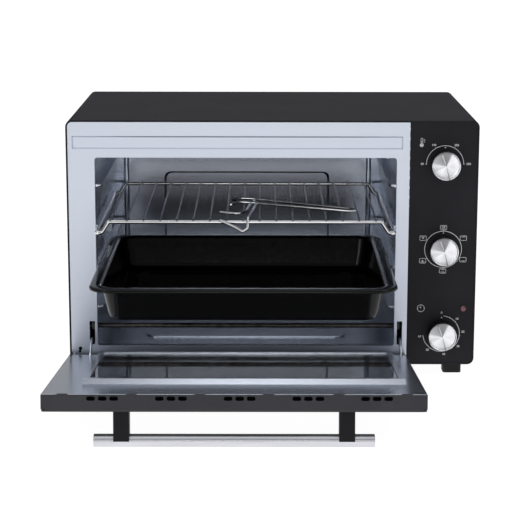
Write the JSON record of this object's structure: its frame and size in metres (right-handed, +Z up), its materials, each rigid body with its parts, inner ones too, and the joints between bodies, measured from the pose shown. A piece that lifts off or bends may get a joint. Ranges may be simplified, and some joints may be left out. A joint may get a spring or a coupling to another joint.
{
  "type": "rotisserie oven",
  "caption": "Countertop rotisserie oven with drop-down glass door, wire rack, deep tray, lifting handle, side control panel with knobs and indicator lamp.",
  "frame": {"origin": "centre of the whole object's footprint with the door open, on the surface that the feet stand on", "axes": "+X to the right seen from the front, +Y from the door towards the back, +Z up"},
  "size_m": [0.55, 0.724, 0.351],
  "materials": {
    "black_paint": "satin",
    "galvanised_steel": "satin",
    "spring_steel": "satin",
    "element_steel": "matte",
    "ceramic": "satin",
    "chrome": "gloss",
    "black_enamel": "gloss",
    "black_glass": "gloss",
    "clear_glass": "gloss",
    "brushed_steel": "brushed",
    "brushed_aluminium": "brushed",
    "black_plastic": "satin",
    "rubber": "matte",
    "red_lens": "gloss",
    "housing_plastic": "matte",
    "motor_steel": "satin"
  },
  "bodies": {
    "cabinet": {"base_plate": "black_paint", "cavity_floor": "galvanised_steel", "cavity_left_wall": "galvanised_steel", "cavity_rear_wall": "galvanised_steel", "cavity_right_wall": "galvanised_steel", "cavity_roof": "galvanised_steel", "control_panel": "black_paint", "cord_gland": "black_plastic", "door_spring_left": "spring_steel", "door_spring_right": "spring_steel", "foot_front_left": "rubber", "foot_front_right": "rubber", "foot_rear_left": "rubber", "foot_rear_right": "rubber", "front_frame": "galvanised_steel", "function_switch": "housing_plastic", "heat_shield": "galvanised_steel", "heater_insulators": "ceramic", "hinge_bracket_left": "galvanised_steel", "hinge_bracket_right": "galvanised_steel", "indicator_lens": "red_lens", "lamp_holder": "housing_plastic", "lower_heaters": "element_steel", "outer_casing": "black_paint", "rear_cover": "black_paint", "rear_screws": "spring_steel", "sensor_bulb": "spring_steel", "spit_motor": "motor_steel", "spit_support": "galvanised_steel", "terminal_block": "housing_plastic", "thermostat": "housing_plastic", "timer_clockwork": "housing_plastic", "upper_heaters": "element_steel"},
    "door": {"door_frame": "black_paint", "door_liner": "galvanised_steel", "door_outer_glass": "black_glass", "door_inner_glass": "clear_glass", "glass_retainer": "galvanised_steel", "handle_bar": "brushed_steel", "handle_post_left": "black_plastic", "handle_post_right": "black_plastic", "handle_screws": "spring_steel", "hinge_arm_left": "galvanised_steel", "hinge_arm_right": "galvanised_steel", "hinge_pins": "spring_steel"},
    "rack": {"rack_frame": "chrome", "rack_wires": "chrome"},
    "tray": {"baking_tray": "black_enamel"},
    "lifting_handle": {"handle_grip": "chrome", "handle_hooks": "chrome"},
    "temperature_control": {"temperature_knob": "black_plastic", "temperature_cap": "brushed_aluminium", "temperature_shaft": "spring_steel"},
    "function_control": {"function_knob": "black_plastic", "function_cap": "brushed_aluminium", "function_shaft": "spring_steel"},
    "timer_control": {"timer_knob": "black_plastic", "timer_cap": "brushed_aluminium", "timer_shaft": "spring_steel"},
    "spit_drive": {"drive_socket": "spring_steel"}
  },
  "joints": [
    {"name": "door_hinge", "type": "hinge", "parent": "cabinet", "child": "door", "pos_m": [-0.0465, -0.04315, 0.0265], "axis": [-1, 0, 0], "range_deg": [0, 83.57], "deforming": ["door_spring_left", "door_spring_right"]},
    {"name": "rack_slide", "type": "slide", "parent": "cabinet", "child": "rack", "axis": [0, 1, 0], "range_m": [0, 0.0955]},
    {"name": "tray_slide", "type": "slide", "parent": "cabinet", "child": "tray", "axis": [0, 1, 0], "range_m": [0, 0.167]},
    {"name": "handle_lift", "type": "slide", "parent": "rack", "child": "lifting_handle", "axis": [0, 0, 1], "range_m": [0, 0.04]},
    {"name": "temperature_turn", "type": "hinge", "parent": "cabinet", "child": "temperature_control", "pos_m": [0.23, -0.04605, 0.2928], "axis": [0, 1, 0], "range_deg": [0, 270]},
    {"name": "function_turn", "type": "hinge", "parent": "cabinet", "child": "function_control", "pos_m": [0.23, -0.04605, 0.1771], "axis": [0, 1, 0], "range_deg": [0, 300]},
    {"name": "timer_turn", "type": "hinge", "parent": "cabinet", "child": "timer_control", "pos_m": [0.23, -0.04605, 0.0602], "axis": [0, 1, 0], "range_deg": [0, 330]},
    {"name": "spit_turn", "type": "hinge", "parent": "cabinet", "child": "spit_drive", "pos_m": [0.175, 0.15395, 0.177], "axis": [1, 0, 0], "continuous": true}
  ],
  "couplings": [
    {"joint": "rack_slide", "follows": "door_hinge", "m_per_rad": 0.065132},
    {"joint": "tray_slide", "follows": "door_hinge", "m_per_rad": 0.11415}
  ]
}
